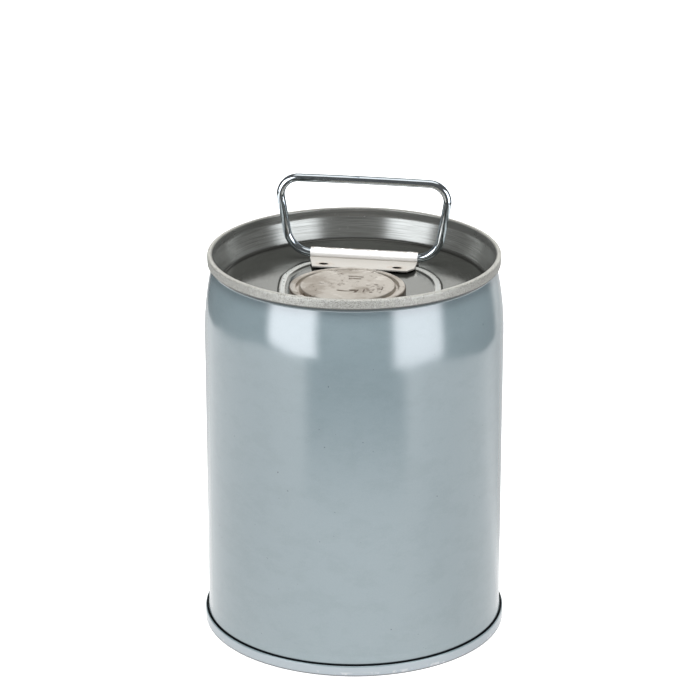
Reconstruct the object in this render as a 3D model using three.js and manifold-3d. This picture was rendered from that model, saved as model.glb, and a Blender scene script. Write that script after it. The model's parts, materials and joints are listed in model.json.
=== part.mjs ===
// Tight-head steel can of 5 litres: a necked cylindrical body closed by two double-seamed ends,
// a threaded closure under a tinplate cap seal, and a wire bail handle hinged in a welded strap.
// Millimetres, +Z up, origin at the centre of the base. The closure is towards -Y.

import * as THREE from 'three';
import { mergeVertices } from 'three/addons/utils/BufferGeometryUtils.js';
import Module from 'manifold-3d';

const wasm = await Module();
wasm.setup();

// Shell: rolled body and the two ends
const SHEET = 0.55;
const BODY_RADIUS = 90;
const RIM_HEIGHT = 235.9;
const SHELL_SEGMENTS = 48;

// Double seams: five layers of sheet, counted inwards from the outside of the chime
const SEAM_GAP = 0.08;
const TOP_SEAM = { radius: 87.8, height: 6.06 };
const BOTTOM_SEAM = { radius: 92.5, height: 6.66 };
const LAYER = { seamingWall: 0, bodyHook: 1, coverHook: 2, bodyWall: 3, chuckWall: 4 };
const BODY_HOOK_TOP = 1.25;
const BODY_HOOK_END = 4.9;
const COVER_HOOK_END = 2.1;
const CHIME_CORNER = 0.8;
const MID_ARC = 1 - Math.SQRT1_2;
const FOLD_CHAMFER = 0.35;
const COMPOUND = { top: 0.65, bottom: 1.15, margin: 0.1 };

// Necked-in top of the body: a long convex arc, then a short straight run into the seam
const NECK = { start: 186, end: 225, arcRadius: 180, steps: 5, seamRun: 229.4 };
const BOTTOM_FLARE = { low: 7.2, high: 12 };

// Countersunk top end
const LID_Z = 217;
const LID_CORNER_UPPER = [
  [78.4, 0],
  [79.5, 0.3],
  [80.2, 1.2],
];
const LID_CORNER_LOWER = [
  [78.5, -0.55],
  [79.9, -0.2],
  [80.75, 1],
];
const CHUCK_WALL_DEPTH = 5.5;

// Recessed bottom end with a raised centre panel
const BASE_PANEL = { z: 5.6, innerZ: 7, innerRadius: 60, stepRadius: 62, corner: 1 };

// Stiffening bead pressed up around the closure, wider on its right side
const BEAD_PATH = [
  [-28, 29.5], [-36, 21], [-41.6, 4], [-41.9, -3], [-38.6, -28], [-30.5, -52], [-2, -66.5],
  [34, -54], [51, -27], [51.6, -6], [45.5, 14], [33, 28], [22, 29.5], [-14, 29.5],
];
const BEAD = { footHalf: 3.1, topHalf: 1.2, height: 1.3, wallShift: 0.4, steps: 44 };

// Closure, measured from the upper face of the lid
const CLOSURE_Y = -24;
const CLOSURE_SEGMENTS = 36;
const NECK_RING = {
  inner: 32.45, top: 3.1, rootRadius: 34, cutRadius: 33.4, cutDepth: 2, skin: 0.01,
  filletRun: 0.3, filletLow: 0.2, filletHigh: 0.6,
};
const FLANGE = {
  wall: 30.1, outer: 32.2, bottom: -9.5, lipRadius: 33.9, lipBottom: 3.4, lipTop: 4.7,
  lipChamfer: 0.4, mouth: 31.6, seat: 0.2, baseRadius: 42, baseSides: 8, baseTop: -1.45, baseBottom: -3.95,
};
const FLANGE_GASKET = { inner: 33.6, outer: 39.4, bottom: -1.35, top: -0.65 };
const PLUG = {
  wall: 28.3, bottom: -9, bottomChamfer: 0.5,
  headRadius: 31.3, headBottom: 1.55, headTop: 3, headChamfer: 0.3,
  recess: 25.8, floor: -7.4, lugReach: 5.6, lugWidth: 8, lugTop: -1, lugSink: 0.4,
};
const PLUG_GASKET = { inner: 28.6, outer: 31.2, bottom: 0.35, top: 1.4 };
const THREAD = {
  pitch: 2.309, depth: 1.2, rootWidth: 1.3, crestWidth: 0.5, bite: 0.25, perTurn: 18, fadeTurns: 0.25,
};
const PLUG_THREAD = { start: -8, turns: 3 };
const FLANGE_THREAD_TURNS = 2.5;
const CAP_SHEET = 0.4;
const CAP = {
  skirtRadius: 34.7, skirtBottom: 0.8, ringTop: 5.4, shoulder: 0.9, ringInner: 30.8,
  grooveOuter: 30.2, grooveInner: 28.7, grooveZ: 3.7, discRadius: 27.7, discTop: 6.1, discRound: 0.3,
};

// Handle strap: sheet rolled round the wire, with a flange welded to the lid in front of it
const HINGE_Y = 37.4;
const HINGE_Z = LID_Z + 3.9;
const STRAP = {
  length: 66, inner: 2.75, outer: 3.65, flangeFront: 20.4, flangeTop: -1.4, flangeBottom: -2.3, tuck: 2.5,
  rollSteps: 8, spare: 1,
};
const LEFT_SLANT = { start: 4.4, run: 4.2 };
const RIGHT_CORNER = { start: 14.5, run: 3.4 };
const WELD = {
  spacing: 45, setback: 15.6, mouthRadius: 1.7, pitRadius: 1.1, pitZ: -2.9,
  tipRadius: 1.5, rootRadius: 2.2, tipZ: -3.6, bite: 0.1, sides: 12,
};

// Wire bail: a rounded trapezoid, wider at the top, with its ends butted inside the strap
const WIRE_RADIUS = 2.5;
const BAIL = {
  height: 47.9, baseHalf: 45.2, topHalf: 55.4, baseCorner: 16, topCorner: 11, offset: -0.5, buttGap: 0.5,
  sides: 8, steps: 60,
};

const PAINT = { color: 0x8e9ea5, roughness: 0.32, metalness: 0.1 };
const TINPLATE = { color: 0xb9b5aa, roughness: 0.38, metalness: 0.85 };
const LACQUERED = { color: 0x8b8c87, roughness: 0.35, metalness: 0.7 };
const CAP_TIN = { color: 0xc9bfb2, roughness: 0.42, metalness: 0.8 };
const ZINC = { color: 0xc4ccd2, roughness: 0.18, metalness: 1 };
const STRAP_TIN = { color: 0xe4e0d8, roughness: 0.25, metalness: 0.9 };
const BUNG_STEEL = { color: 0xa9adb0, roughness: 0.4, metalness: 0.9 };
const RUBBER = { color: 0x2c2c2c, roughness: 0.8, metalness: 0 };
const COMPOUND_GUM = { color: 0x8a8378, roughness: 0.9, metalness: 0 };

// ---------------------------------------------------------------- helpers

// Ring or disc of revolution about +Z from a counter-clockwise outline of [radius, z] points.
function revolve(outline, segments) {
  const points = outline.map(([radius, z]) => new THREE.Vector2(radius, z));
  const onAxis = points[0].x === 0 && points[points.length - 1].x === 0;
  if (!onAxis) {
    points.push(points[0].clone());
  }
  return new THREE.LatheGeometry(points, segments).rotateX(Math.PI / 2);
}

function toSolid(geometry) {
  const bare = geometry.clone();
  bare.deleteAttribute('normal');
  bare.deleteAttribute('uv');
  const merged = mergeVertices(bare, 1e-4);
  const index = merged.index.array;
  const triangles = [];
  for (let i = 0; i < index.length; i += 3) {
    const [a, b, c] = index.slice(i, i + 3);
    if (a !== b && b !== c && c !== a) {
      triangles.push(a, b, c);
    }
  }
  return new wasm.Manifold(new wasm.Mesh({
    numProp: 3,
    vertProperties: new Float32Array(merged.attributes.position.array),
    triVerts: new Uint32Array(triangles),
  }));
}

function toGeometry(solid) {
  const mesh = solid.getMesh();
  const geometry = new THREE.BufferGeometry();
  geometry.setAttribute('position', new THREE.BufferAttribute(mesh.vertProperties, 3));
  geometry.setIndex(new THREE.BufferAttribute(mesh.triVerts, 1));
  return geometry;
}

// Closed mesh from rings of equal length. A loop joins the last ring to the first; an open run is capped.
function skin(rings, isLoop) {
  const count = rings[0].length;
  const triangles = [];
  const spans = isLoop ? rings.length : rings.length - 1;
  for (let i = 0; i < spans; i += 1) {
    const here = i * count;
    const next = ((i + 1) % rings.length) * count;
    for (let j = 0; j < count; j += 1) {
      const k = (j + 1) % count;
      triangles.push(here + j, next + j, here + k);
      triangles.push(next + k, here + k, next + j);
    }
  }
  if (!isLoop) {
    const last = (rings.length - 1) * count;
    for (let j = 1; j < count - 1; j += 1) {
      triangles.push(0, j, j + 1);
      triangles.push(last, last + j + 1, last + j);
    }
  }
  const geometry = new THREE.BufferGeometry().setFromPoints(rings.flat());
  geometry.setIndex(triangles);
  return facingOut(geometry);
}

// Turns every triangle round if the mesh encloses a negative volume.
function facingOut(geometry) {
  const position = geometry.attributes.position;
  const index = geometry.index.array;
  const [a, b, c] = [new THREE.Vector3(), new THREE.Vector3(), new THREE.Vector3()];
  let volume = 0;
  for (let i = 0; i < index.length; i += 3) {
    a.fromBufferAttribute(position, index[i]);
    b.fromBufferAttribute(position, index[i + 1]);
    c.fromBufferAttribute(position, index[i + 2]);
    volume += a.dot(b.cross(c));
  }
  if (volume < 0) {
    for (let i = 0; i < index.length; i += 3) {
      [index[i + 1], index[i + 2]] = [index[i + 2], index[i + 1]];
    }
  }
  return geometry;
}

function part(name, geometry, finish) {
  const mesh = new THREE.Mesh(geometry, new THREE.MeshStandardMaterial(finish));
  mesh.name = name;
  return mesh;
}

// ---------------------------------------------------------------- double seams

// Inner and outer radius of one layer of sheet in a seam.
function seamLayer(seam, layer) {
  const outer = seam.radius - layer * (SHEET + SEAM_GAP);
  return { outer, inner: outer - SHEET };
}

// Body sheet turned out and back over itself: [radius, depth below the face], outer side first.
function bodyHook(seam) {
  const wall = seamLayer(seam, LAYER.bodyWall);
  const hook = seamLayer(seam, LAYER.bodyHook);
  return [
    [wall.outer, BODY_HOOK_TOP + SHEET],
    [hook.inner, BODY_HOOK_TOP + SHEET],
    [hook.inner, BODY_HOOK_END],
    [hook.outer, BODY_HOOK_END],
    [hook.outer, BODY_HOOK_TOP + FOLD_CHAMFER],
    [hook.outer - FOLD_CHAMFER, BODY_HOOK_TOP],
    [wall.inner + FOLD_CHAMFER, BODY_HOOK_TOP],
    [wall.inner, BODY_HOOK_TOP + FOLD_CHAMFER],
  ];
}

// End sheet folded round the body hook: [radius, depth below the face], from the inside of the
// arch, round the cover hook and over the chime to the face of the chuck wall.
function coverHook(seam) {
  const outside = seamLayer(seam, LAYER.seamingWall);
  const hook = seamLayer(seam, LAYER.coverHook);
  const chuck = seamLayer(seam, LAYER.chuckWall);
  const soft = CHIME_CORNER * MID_ARC;
  return [
    [chuck.outer, SHEET],
    [outside.inner, SHEET],
    [outside.inner, seam.height - SHEET],
    [hook.outer, seam.height - SHEET],
    [hook.outer, COVER_HOOK_END],
    [hook.inner, COVER_HOOK_END],
    [hook.inner, seam.height - FOLD_CHAMFER],
    [hook.inner + FOLD_CHAMFER, seam.height],
    [outside.outer - CHIME_CORNER, seam.height],
    [outside.outer, seam.height - CHIME_CORNER],
    [outside.outer, CHIME_CORNER],
    [outside.outer - soft, soft],
    [outside.outer - CHIME_CORNER, 0],
    [chuck.inner + CHIME_CORNER, 0],
    [chuck.inner + soft, soft],
    [chuck.inner, CHIME_CORNER],
  ];
}

// A seam outline hung from the rim, or stood on the floor with its order turned round.
function atRim(outline) {
  return outline.map(([radius, depth]) => [radius, RIM_HEIGHT - depth]);
}

function atFloor(outline) {
  return outline.map(([radius, depth]) => [radius, depth]).reverse();
}

// Bead of sealing compound in the top of the fold.
function compoundRing(place, seam) {
  const inner = seamLayer(seam, LAYER.bodyWall).inner + COMPOUND.margin;
  const outer = seamLayer(seam, LAYER.bodyHook).outer - COMPOUND.margin;
  const outline = [
    [inner, COMPOUND.bottom],
    [outer, COMPOUND.bottom],
    [outer, COMPOUND.top],
    [inner, COMPOUND.top],
  ];
  return revolve(place(outline), SHELL_SEGMENTS);
}

// ---------------------------------------------------------------- shell

function neckArc() {
  const points = [];
  for (let i = 0; i <= NECK.steps; i += 1) {
    const rise = ((NECK.end - NECK.start) * i) / NECK.steps;
    const inset = NECK.arcRadius - Math.sqrt(NECK.arcRadius ** 2 - rise ** 2);
    points.push([BODY_RADIUS - inset, NECK.start + rise]);
  }
  return points;
}

function bodyShell() {
  const topWall = seamLayer(TOP_SEAM, LAYER.bodyWall);
  const bottomWall = seamLayer(BOTTOM_SEAM, LAYER.bodyWall);
  const outside = [
    [bottomWall.outer, BOTTOM_FLARE.low],
    [BODY_RADIUS, BOTTOM_FLARE.high],
    ...neckArc(),
    [topWall.outer, NECK.seamRun],
  ];
  const inside = outside.map(([radius, z]) => [radius - SHEET, z]).reverse();
  const topHook = atRim(bodyHook(TOP_SEAM));
  const bottomHook = atFloor(bodyHook(BOTTOM_SEAM));
  return revolve([...outside, ...topHook, ...inside, ...bottomHook], SHELL_SEGMENTS);
}

// Outline of the lid: underside out to the seam, round it, and back along the upper face.
function topEndOutline() {
  const chuck = seamLayer(TOP_SEAM, LAYER.chuckWall);
  const bend = RIM_HEIGHT - CHUCK_WALL_DEPTH;
  const upper = LID_CORNER_UPPER.map(([radius, rise]) => [radius, LID_Z + rise]);
  const lower = LID_CORNER_LOWER.map(([radius, rise]) => [radius, LID_Z + rise]);
  return [
    [0, LID_Z - SHEET],
    ...lower,
    [chuck.outer, bend],
    ...atRim(coverHook(TOP_SEAM)),
    [chuck.inner, bend],
    ...upper.reverse(),
    [0, LID_Z],
  ];
}

// Rings of a trapezoid section carried round the closed bead path.
function beadSolid(footHalf, topHalf, footZ, topZ) {
  const corners = BEAD_PATH.map(([x, y]) => new THREE.Vector3(x, y, 0));
  const path = new THREE.CatmullRomCurve3(corners, true, 'centripetal');
  const section = [
    [-footHalf, footZ],
    [footHalf, footZ],
    [topHalf, topZ],
    [-topHalf, topZ],
  ];
  const rings = [];
  for (let i = 0; i < BEAD.steps; i += 1) {
    const centre = path.getPointAt(i / BEAD.steps);
    const along = path.getTangentAt(i / BEAD.steps);
    const across = new THREE.Vector3(-along.y, along.x, 0);
    rings.push(section.map(([offset, z]) => centre.clone().addScaledVector(across, offset).setZ(LID_Z + z)));
  }
  return toSolid(skin(rings, true));
}

// Short neck turned up from the lid round the closure flange.
function lidNeck() {
  const { inner, top, rootRadius, skin, filletRun, filletLow, filletHigh } = NECK_RING;
  const outline = [
    [inner, skin - SHEET],
    [rootRadius, skin - SHEET],
    [rootRadius, -skin],
    [inner + SHEET + filletRun, filletLow],
    [inner + SHEET, filletHigh],
    [inner + SHEET, top],
    [inner, top],
  ];
  return toSolid(revolve(outline, CLOSURE_SEGMENTS).translate(0, CLOSURE_Y, LID_Z));
}

function topEnd() {
  const { footHalf, topHalf, height, wallShift } = BEAD;
  const { cutRadius, cutDepth } = NECK_RING;
  const hole = new THREE.CylinderGeometry(cutRadius, cutRadius, 2 * cutDepth, CLOSURE_SEGMENTS);
  hole.rotateX(Math.PI / 2).translate(0, CLOSURE_Y, LID_Z);
  const solid = toSolid(revolve(topEndOutline(), SHELL_SEGMENTS))
    .add(beadSolid(footHalf, topHalf, -SHEET / 2, height))
    .subtract(beadSolid(footHalf - wallShift, topHalf - wallShift, -2 * SHEET, height - SHEET))
    .subtract(toSolid(hole))
    .add(lidNeck());
  return toGeometry(solid);
}

function bottomEnd() {
  const { z, innerZ, innerRadius, stepRadius, corner } = BASE_PANEL;
  const chuck = seamLayer(BOTTOM_SEAM, LAYER.chuckWall);
  const outline = [
    [0, innerZ],
    [innerRadius, innerZ],
    [stepRadius, z],
    [chuck.inner - corner, z],
    [chuck.inner, z - corner],
    ...atFloor(coverHook(BOTTOM_SEAM)),
    [chuck.outer, z + SHEET - corner],
    [chuck.outer - corner, z + SHEET],
    [stepRadius, z + SHEET],
    [innerRadius, innerZ + SHEET],
    [0, innerZ + SHEET],
  ];
  return revolve(outline, SHELL_SEGMENTS);
}

// ---------------------------------------------------------------- closure

// Helical ridge that fades out at both ends. The crest is outside the root on a plug, inside it on a flange.
function threadRidge(rootRadius, crestRadius, start, turns) {
  const outwards = Math.sign(crestRadius - rootRadius);
  const stations = Math.round(turns * THREAD.perTurn);
  const fade = THREAD.perTurn * THREAD.fadeTurns;
  const buried = rootRadius - outwards * THREAD.bite;
  const rings = [];
  for (let i = 0; i <= stations; i += 1) {
    const angle = (2 * Math.PI * i) / THREAD.perTurn;
    const z = start + (THREAD.pitch * i) / THREAD.perTurn;
    const height = Math.min(1, i / fade, (stations - i) / fade);
    const crest = rootRadius + (crestRadius - rootRadius) * height;
    const section = [
      [buried, -THREAD.rootWidth / 2],
      [crest, -THREAD.crestWidth / 2],
      [crest, THREAD.crestWidth / 2],
      [buried, THREAD.rootWidth / 2],
    ];
    const direction = new THREE.Vector3(Math.cos(angle), Math.sin(angle), 0);
    rings.push(section.map(([radius, dz]) => direction.clone().multiplyScalar(radius).setZ(z + dz)));
  }
  return toSolid(skin(rings, false));
}

function bungFlange() {
  const f = FLANGE;
  const barrel = revolve([
    [f.wall, f.bottom],
    [f.outer, f.bottom],
    [f.outer, f.lipBottom],
    [f.lipRadius, f.lipBottom],
    [f.lipRadius, f.lipTop - f.lipChamfer],
    [f.lipRadius - f.lipChamfer, f.lipTop],
    [f.mouth, f.lipTop],
    [f.mouth, f.seat],
    [f.wall, f.seat],
  ], CLOSURE_SEGMENTS);
  const baseInner = (f.wall + f.outer) / 2 / Math.cos(Math.PI / f.baseSides);
  const octagon = revolve([
    [baseInner, f.baseBottom],
    [f.baseRadius, f.baseBottom],
    [f.baseRadius, f.baseTop],
    [baseInner, f.baseTop],
  ], f.baseSides);
  const ridgeStart = PLUG_THREAD.start + THREAD.pitch / 2;
  const ridge = threadRidge(f.wall, f.wall - THREAD.depth, ridgeStart, FLANGE_THREAD_TURNS);
  return toGeometry(toSolid(barrel).add(toSolid(octagon)).add(ridge));
}

function plug() {
  const p = PLUG;
  const cup = revolve([
    [0, p.bottom],
    [p.wall - p.bottomChamfer, p.bottom],
    [p.wall, p.bottom + p.bottomChamfer],
    [p.wall, p.headBottom],
    [p.headRadius - p.headChamfer, p.headBottom],
    [p.headRadius, p.headBottom + p.headChamfer],
    [p.headRadius, p.headTop],
    [p.recess, p.headTop],
    [p.recess, p.floor],
    [0, p.floor],
  ], CLOSURE_SEGMENTS);
  const ridge = threadRidge(p.wall, p.wall + THREAD.depth, PLUG_THREAD.start, PLUG_THREAD.turns);
  let solid = toSolid(cup).add(ridge);
  const lugHeight = p.lugTop - p.floor + p.lugSink;
  for (const side of [-1, 1]) {
    const lug = new THREE.BoxGeometry(p.lugReach, p.lugWidth, lugHeight);
    lug.translate(side * (p.recess + p.lugSink - p.lugReach / 2), 0, p.lugTop - lugHeight / 2);
    solid = solid.add(toSolid(lug));
  }
  return toGeometry(solid);
}

function squareRing({ inner, outer, bottom, top }) {
  return revolve([
    [inner, bottom],
    [outer, bottom],
    [outer, top],
    [inner, top],
  ], CLOSURE_SEGMENTS);
}

// Tinplate cap: skirt, flat ring over the neck, sunk groove and raised centre disc.
function capSeal() {
  const c = CAP;
  const slope = (c.ringInner - c.grooveOuter) / 2;
  const outside = [
    [c.skirtRadius, c.skirtBottom],
    [c.skirtRadius, c.ringTop - c.shoulder],
    [c.skirtRadius - c.shoulder * MID_ARC, c.ringTop - c.shoulder * MID_ARC],
    [c.skirtRadius - c.shoulder, c.ringTop],
    [c.ringInner, c.ringTop],
    [c.grooveOuter, c.grooveZ],
    [c.grooveInner, c.grooveZ],
    [c.discRadius + slope, c.discTop - c.discRound],
    [c.discRadius, c.discTop],
    [0, c.discTop],
  ];
  const t = CAP_SHEET;
  const inside = [
    [0, c.discTop - t],
    [c.discRadius - t / 2, c.discTop - t],
    [c.grooveInner - t, c.grooveZ - t],
    [c.grooveOuter + t, c.grooveZ - t],
    [c.ringInner + t, c.ringTop - t],
    [c.skirtRadius - c.shoulder, c.ringTop - t],
    [c.skirtRadius - t, c.ringTop - c.shoulder],
    [c.skirtRadius - t, c.skirtBottom],
  ];
  return revolve([...outside, ...inside], CLOSURE_SEGMENTS);
}

// ---------------------------------------------------------------- handle

// Straight prism along X from an outline in Y and Z.
function prismAlongX(shape, length, curveSegments) {
  const geometry = new THREE.ExtrudeGeometry(shape, { depth: length, bevelEnabled: false, curveSegments });
  return geometry.rotateX(Math.PI / 2).rotateZ(Math.PI / 2).translate(-length / 2, 0, 0);
}

// Section of the strap about the hinge axis: flange, roll over the wire, and end tucked under the flange.
function strapSection() {
  const s = STRAP;
  const outerStart = Math.PI + Math.asin(-s.flangeTop / s.outer);
  const innerEnd = Math.PI + Math.asin(-s.flangeBottom / s.inner);
  const shape = new THREE.Shape();
  shape.moveTo(-s.flangeFront, s.flangeBottom);
  shape.lineTo(-s.flangeFront, s.flangeTop);
  shape.absarc(0, 0, s.outer, outerStart, -Math.PI / 2, true);
  shape.lineTo(-s.tuck, -s.outer);
  shape.lineTo(-s.tuck, -s.inner);
  shape.absarc(0, 0, s.inner, -Math.PI / 2, innerEnd, false);
  return shape;
}

// Vertical prism that trims the flange in plan.
function trim(outline) {
  const shape = new THREE.Shape(outline.map(([x, y]) => new THREE.Vector2(x, y)));
  const depth = STRAP.flangeTop - STRAP.flangeBottom + 2 * STRAP.spare;
  const block = new THREE.ExtrudeGeometry(shape, { depth, bevelEnabled: false });
  return toSolid(block.translate(0, 0, STRAP.flangeBottom - STRAP.spare));
}

// Rolled strap whose flange slants in on its left edge and has its right front corner cut off.
function trimmedStrap() {
  const edge = STRAP.length / 2;
  const past = edge + STRAP.spare;
  const front = -STRAP.flangeFront - STRAP.spare;
  const leftPiece = trim([
    [-past, -LEFT_SLANT.start],
    [-past, front],
    [LEFT_SLANT.run - edge, front],
    [-edge, -LEFT_SLANT.start],
  ]);
  const rightPiece = trim([
    [edge, -RIGHT_CORNER.start],
    [edge - RIGHT_CORNER.run, front],
    [past, front],
    [past, -RIGHT_CORNER.start],
  ]);
  const strap = toSolid(prismAlongX(strapSection(), STRAP.length, STRAP.rollSteps));
  return strap.subtract(leftPiece).subtract(rightPiece);
}

// Dimple pressed into the flange: a cone on its underside and a pit in its top.
function weldTip() {
  return toSolid(revolve([
    [0, WELD.tipZ],
    [WELD.tipRadius, WELD.tipZ],
    [WELD.rootRadius, STRAP.flangeBottom + WELD.bite],
    [0, STRAP.flangeBottom + WELD.bite],
  ], WELD.sides));
}

function weldPit() {
  return toSolid(revolve([
    [0, WELD.pitZ],
    [WELD.pitRadius, WELD.pitZ],
    [WELD.mouthRadius, STRAP.flangeTop + WELD.bite],
    [0, STRAP.flangeTop + WELD.bite],
  ], WELD.sides));
}

function handleStrap() {
  let solid = trimmedStrap();
  for (const side of [-1, 1]) {
    const place = [(side * WELD.spacing) / 2, -WELD.setback, 0];
    solid = solid.add(weldTip().translate(place)).subtract(weldPit().translate(place));
  }
  return toGeometry(solid);
}

// Arc of a given radius that rounds the corner between two straight runs.
function cornerArc(before, corner, after, radius) {
  const inward = before.clone().sub(corner).normalize();
  const outward = after.clone().sub(corner).normalize();
  const halfAngle = inward.angleTo(outward) / 2;
  const bisector = inward.clone().add(outward).normalize();
  const centre = corner.clone().addScaledVector(bisector, radius / Math.sin(halfAngle));
  const reach = radius / Math.tan(halfAngle);
  const start = corner.clone().addScaledVector(inward, reach).sub(centre);
  const end = corner.clone().addScaledVector(outward, reach).sub(centre);
  return { centre, start, end };
}

function pieceLength(piece) {
  if (piece.isLineCurve3) {
    return piece.getLength();
  }
  return piece.start.length() * piece.start.angleTo(piece.end);
}

// Centre line of the bail in the XZ plane about the hinge axis.
class BailCurve extends THREE.Curve {
  constructor() {
    super();
    const { height, baseHalf, topHalf, baseCorner, topCorner, offset, buttGap } = BAIL;
    const at = (x, z) => new THREE.Vector3(x + offset, 0, z);
    const corners = [at(baseHalf, 0), at(topHalf, height), at(-topHalf, height), at(-baseHalf, 0)];
    const radii = [baseCorner, topCorner, topCorner, baseCorner];
    const ends = [at(buttGap / 2, 0), at(-buttGap / 2, 0)];
    this.pieces = [];
    let from = ends[0];
    corners.forEach((corner, i) => {
      const next = corners[i + 1] ?? ends[1];
      const arc = cornerArc(corners[i - 1] ?? ends[0], corner, next, radii[i]);
      const arcStart = arc.centre.clone().add(arc.start);
      this.pieces.push(new THREE.LineCurve3(from, arcStart));
      this.pieces.push(arc);
      from = arc.centre.clone().add(arc.end);
    });
    this.pieces.push(new THREE.LineCurve3(from, ends[1]));
    this.lengths = this.pieces.map(pieceLength);
    this.total = this.lengths.reduce((sum, length) => sum + length, 0);
  }

  getPoint(t, target = new THREE.Vector3()) {
    let distance = t * this.total;
    let i = 0;
    while (i < this.pieces.length - 1 && distance > this.lengths[i]) {
      distance -= this.lengths[i];
      i += 1;
    }
    const piece = this.pieces[i];
    const share = Math.min(1, distance / this.lengths[i]);
    if (piece.isLineCurve3) {
      return target.copy(piece.getPoint(share));
    }
    const axis = piece.start.clone().cross(piece.end).normalize();
    const angle = piece.start.angleTo(piece.end) * share;
    return target.copy(piece.start).applyAxisAngle(axis, angle).add(piece.centre);
  }
}

function bail() {
  const section = new THREE.Shape();
  section.absarc(0, 0, WIRE_RADIUS, 0, 2 * Math.PI, false);
  return new THREE.ExtrudeGeometry(section, {
    steps: BAIL.steps,
    curveSegments: BAIL.sides / 2,
    extrudePath: new BailCurve(),
    bevelEnabled: false,
  });
}

// ---------------------------------------------------------------- assembly

const can = new THREE.Group();
can.add(part('body_shell', bodyShell(), PAINT));
can.add(part('top_end', topEnd(), LACQUERED));
can.add(part('bottom_end', bottomEnd(), PAINT));
can.add(part('top_seam_compound', compoundRing(atRim, TOP_SEAM), COMPOUND_GUM));
can.add(part('bottom_seam_compound', compoundRing(atFloor, BOTTOM_SEAM), COMPOUND_GUM));

const closure = new THREE.Group();
closure.position.set(0, CLOSURE_Y, LID_Z);
closure.add(part('bung_flange', bungFlange(), BUNG_STEEL));
closure.add(part('flange_gasket', squareRing(FLANGE_GASKET), RUBBER));
closure.add(part('plug', plug(), BUNG_STEEL));
closure.add(part('plug_gasket', squareRing(PLUG_GASKET), RUBBER));
closure.add(part('cap_seal', capSeal(), CAP_TIN));
can.add(closure);

const hinge = new THREE.Group();
hinge.position.set(0, HINGE_Y, HINGE_Z);
hinge.add(part('handle_strap', handleStrap(), STRAP_TIN));
hinge.add(part('bail_handle', bail(), ZINC));
can.add(hinge);

export default can;
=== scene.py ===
"""Studio scene of a tight-head paint can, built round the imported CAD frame.

Lengths in the outlines are millimetres in the row frame; meshes are made in metres.
The can's axis is +Z, the closure lies towards -Y and the bail's hinge towards +Y.
"""

import json
import math

import bmesh
import bpy
import numpy as np
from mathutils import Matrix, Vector, noise


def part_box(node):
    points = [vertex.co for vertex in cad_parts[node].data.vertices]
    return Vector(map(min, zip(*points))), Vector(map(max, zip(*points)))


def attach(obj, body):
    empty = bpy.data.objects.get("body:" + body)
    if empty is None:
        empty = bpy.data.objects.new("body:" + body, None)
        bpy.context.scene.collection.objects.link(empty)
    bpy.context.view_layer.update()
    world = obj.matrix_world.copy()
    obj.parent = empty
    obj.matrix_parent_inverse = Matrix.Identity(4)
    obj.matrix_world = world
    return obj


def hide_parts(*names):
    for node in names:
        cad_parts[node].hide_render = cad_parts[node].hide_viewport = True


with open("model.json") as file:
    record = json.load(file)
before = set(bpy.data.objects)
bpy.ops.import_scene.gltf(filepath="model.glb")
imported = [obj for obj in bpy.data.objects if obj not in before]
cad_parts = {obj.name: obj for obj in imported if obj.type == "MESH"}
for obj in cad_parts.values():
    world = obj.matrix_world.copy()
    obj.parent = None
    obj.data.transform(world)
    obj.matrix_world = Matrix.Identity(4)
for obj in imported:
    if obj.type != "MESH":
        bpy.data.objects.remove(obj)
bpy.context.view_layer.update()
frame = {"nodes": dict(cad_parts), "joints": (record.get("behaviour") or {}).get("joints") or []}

MM = 0.001
MICRON = 0.000001
SHEET = 0.55  # gauge of the body, the lid and the base


def corners(node):
    """Lowest and highest corner of a CAD node in millimetres."""
    low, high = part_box(node)
    return low / MM, high / MM


TOP_LOW, TOP_HIGH = corners("top_end")
_, BASE_HIGH = corners("bottom_end")
CAP_LOW, CAP_HIGH = corners("cap_seal")
STRAP_LOW, STRAP_HIGH = corners("handle_strap")
WIRE_LOW, WIRE_HIGH = corners("bail_handle")

RIM_Z = TOP_HIGH.z
LID_Z = TOP_LOW.z + SHEET
CLOSURE = ((CAP_LOW.x + CAP_HIGH.x) / 2, (CAP_LOW.y + CAP_HIGH.y) / 2, LID_Z)
SWING = next(joint for joint in frame["joints"] if joint["name"] == "bail_swing")
HINGE = Vector(SWING["pos_m"]) / MM

# Double seams: five layers of sheet, counted inwards from the outside of the chime
SEAM_GAP = 0.08
TOP_SEAM = {"radius": TOP_HIGH.x, "height": 6.06}
BOTTOM_SEAM = {"radius": BASE_HIGH.x, "height": 6.66}
SEAMING_WALL, BODY_HOOK, COVER_HOOK, BODY_WALL, CHUCK_WALL = range(5)

BODY_RADIUS = 90
FLARE_LOW, FLARE_HIGH = 7.2, 12
NECK_START, NECK_END, NECK_ARC = 186, 227.6, 180
NECK_TOP = 229.5
PANEL_RADIUS = 77.6  # flat part of the lid
WELD_ANGLE, WELD_LAP = math.radians(97), 0.28


# ---------------- meshes


def mesh_object(name, points, faces, sharp_angle=38):
    """Object from points in millimetres, facing out, smooth but for edges sharper than sharp_angle."""
    mesh = bpy.data.meshes.new(name)
    mesh.from_pydata([tuple(c * MM for c in p) for p in points], [], faces)
    bm = bmesh.new()
    bm.from_mesh(mesh)
    bmesh.ops.recalc_face_normals(bm, faces=bm.faces)
    if bm.calc_volume(signed=True) < 0:
        bmesh.ops.reverse_faces(bm, faces=bm.faces)
    limit = math.radians(sharp_angle)
    for face in bm.faces:
        face.smooth = True
    for edge in bm.edges:
        edge.smooth = edge.calc_face_angle(0) < limit
    bm.to_mesh(mesh)
    bm.free()
    piece = bpy.data.objects.new(name, mesh)
    bpy.context.scene.collection.objects.link(piece)
    return piece


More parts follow.
